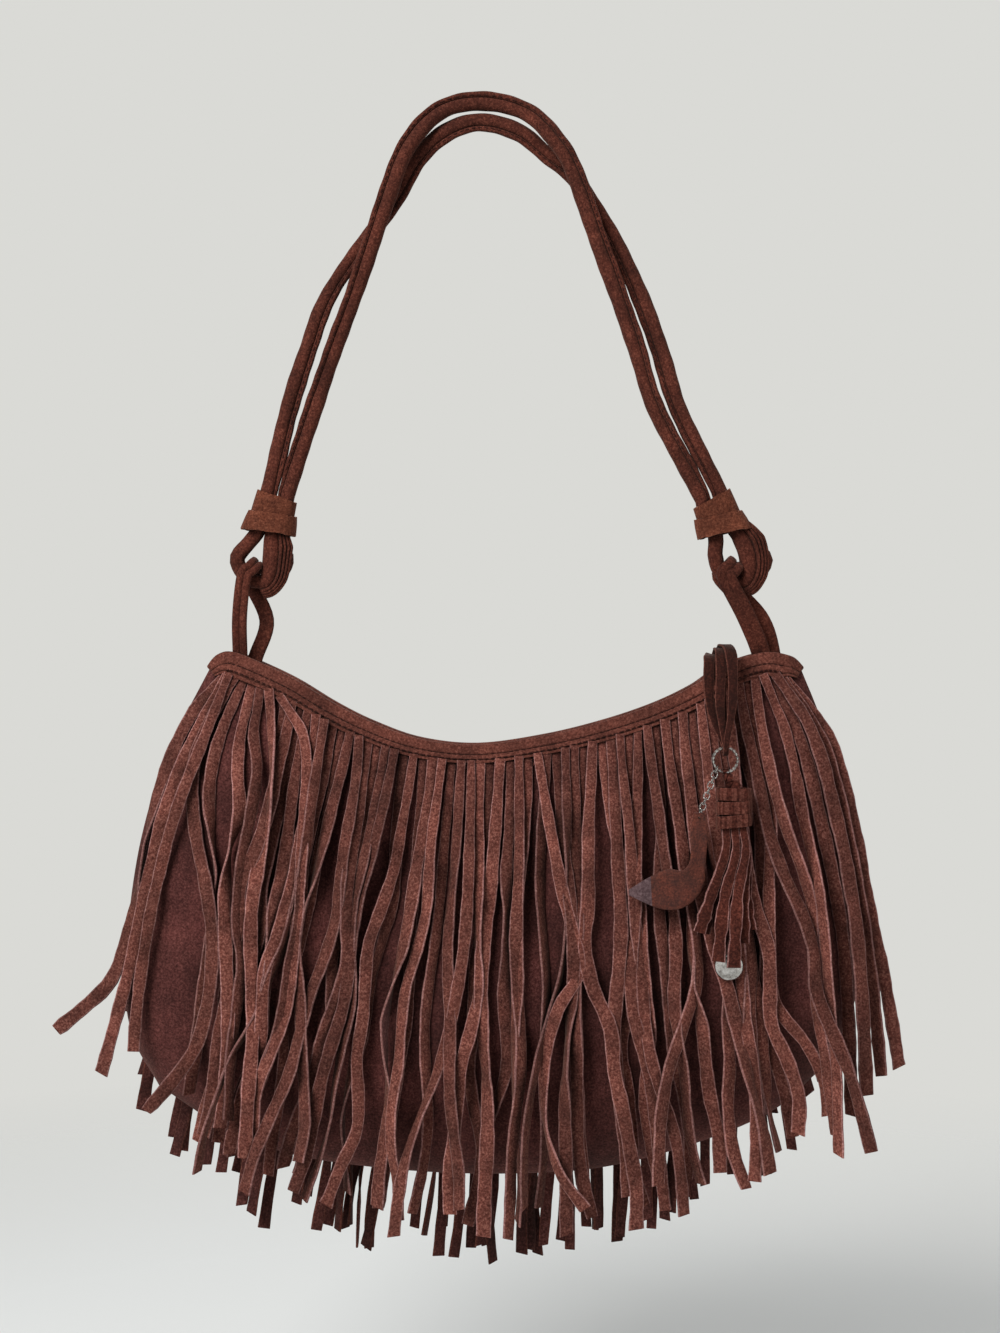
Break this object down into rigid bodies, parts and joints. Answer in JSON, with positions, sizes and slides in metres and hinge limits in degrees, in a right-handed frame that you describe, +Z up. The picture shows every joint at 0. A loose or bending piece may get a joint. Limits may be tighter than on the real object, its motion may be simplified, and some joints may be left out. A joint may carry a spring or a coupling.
{
  "type": "fringed suede bag",
  "caption": "Zipped suede pouch with front and back fringe, hung by two sewn loops from a doubled cord strap, with a tassel and charms on the zip.",
  "frame": {"origin": "under the top of the shoulder strap, where a hook carries the bag", "axes": "+Z up to the hook, +X to the right seen from the fringed front, +Y to the back"},
  "size_m": [0.4043, 0.0881, 0.5988],
  "materials": {
    "suede_strap": "rolled suede cord, deep red-brown, matt nap",
    "suede_wrap": "flat suede strip, warmer red-brown",
    "suede_panel": "suede panel, brushed nap with soft sheen",
    "lining_cloth": "plain dark woven cloth",
    "suede_binding": "suede binding with stitch rows",
    "suede_fringe": "cut suede strips with paler cut edges",
    "zip_metal": "dark glossy zip parts",
    "zip_tape": "dark woven zip tape",
    "suede_lace": "flat suede lace",
    "bright_metal": "bright nickel-like metal",
    "suede_tag": "smooth worn suede tag",
    "suede_tassel": "suede tassel strips"
  },
  "bodies": {
    "strap": {"shoulder_strap": "suede_strap", "left_wrap": "suede_wrap", "right_wrap": "suede_wrap"},
    "pouch": {"left_loop": "suede_strap", "right_loop": "suede_strap", "front_panel": "suede_panel", "back_panel": "suede_panel", "lining": "lining_cloth", "front_rim": "suede_binding", "back_rim": "suede_binding", "front_fringe": "suede_fringe", "back_fringe": "suede_fringe", "front_zip_teeth": "zip_metal", "back_zip_teeth": "zip_metal", "front_zip_tape": "zip_tape", "back_zip_tape": "zip_tape"},
    "slider": {"zip_slider": "zip_metal"},
    "puller": {"zip_puller": "zip_metal", "left_pull_lace": "suede_lace", "right_pull_lace": "suede_lace"},
    "ring": {"charm_ring": "bright_metal"},
    "tassel": {"tassel_head": "suede_tassel", "tassel_band": "suede_tassel", "tassel_strip_1": "suede_tassel", "tassel_strip_2": "suede_tassel", "tassel_strip_3": "suede_tassel", "tassel_strip_4": "suede_tassel", "tassel_strip_5": "suede_tassel", "tassel_strip_6": "suede_tassel", "tassel_strip_7": "suede_tassel", "tassel_strip_8": "suede_tassel", "tassel_strip_9": "suede_tassel"},
    "disc": {"jump_ring": "bright_metal", "disc_charm": "bright_metal"},
    "chain_top": {"chain_link_1": "bright_metal", "chain_link_2": "bright_metal", "chain_link_3": "bright_metal"},
    "chain_middle": {"chain_link_4": "bright_metal", "chain_link_5": "bright_metal", "chain_link_6": "bright_metal"},
    "chain_low": {"chain_link_7": "bright_metal", "chain_link_8": "bright_metal"},
    "tag": {"end_hook": "bright_metal", "leaf_tag": "suede_tag"}
  },
  "joints": [
    {"name": "pouch_swing", "type": "hinge", "parent": "strap", "child": "pouch", "pos_m": [0, 0, -0.22746], "axis": [1, 0, 0], "range_deg": [-18, 18]},
    {"name": "zip_run", "type": "hinge", "parent": "pouch", "child": "slider", "pos_m": [0.0088, 0, -0.107], "axis": [0, 1, 0], "range_deg": [0, 48]},
    {"name": "puller_hang", "type": "hinge", "parent": "slider", "child": "puller", "pos_m": [0.1255, 0, -0.28335], "axis": [0, 1, 0], "range_deg": [-48, 0]},
    {"name": "ring_swing", "type": "hinge", "parent": "puller", "child": "ring", "pos_m": [0.1196, -0.046, -0.313], "axis": [1, 0, 0], "range_deg": [-35, 0]},
    {"name": "tassel_swing", "type": "hinge", "parent": "ring", "child": "tassel", "pos_m": [0.1196, -0.046, -0.325], "axis": [1, 0, 0], "range_deg": [-40, 0]},
    {"name": "disc_swing", "type": "hinge", "parent": "tassel", "child": "disc", "pos_m": [0.122, -0.0413, -0.4091], "axis": [0, 1, 0], "range_deg": [-25, 25]},
    {"name": "chain_top_swing", "type": "hinge", "parent": "ring", "child": "chain_top", "pos_m": [0.11536, -0.046, -0.32324], "axis": [1, 0, 0], "range_deg": [-25, 0]},
    {"name": "chain_middle_swing", "type": "hinge", "parent": "chain_top", "child": "chain_middle", "pos_m": [0.11306, -0.046, -0.32948], "axis": [1, 0, 0], "range_deg": [-25, 0]},
    {"name": "chain_low_swing", "type": "hinge", "parent": "chain_middle", "child": "chain_low", "pos_m": [0.11021, -0.046, -0.33723], "axis": [1, 0, 0], "range_deg": [-25, 0]},
    {"name": "tag_swing", "type": "hinge", "parent": "chain_low", "child": "tag", "pos_m": [0.1083, -0.046, -0.34243], "axis": [1, 0, 0], "range_deg": [-30, 0]}
  ],
  "couplings": [
    {"joint": "puller_hang", "follows": "zip_run", "ratio": -1}
  ]
}
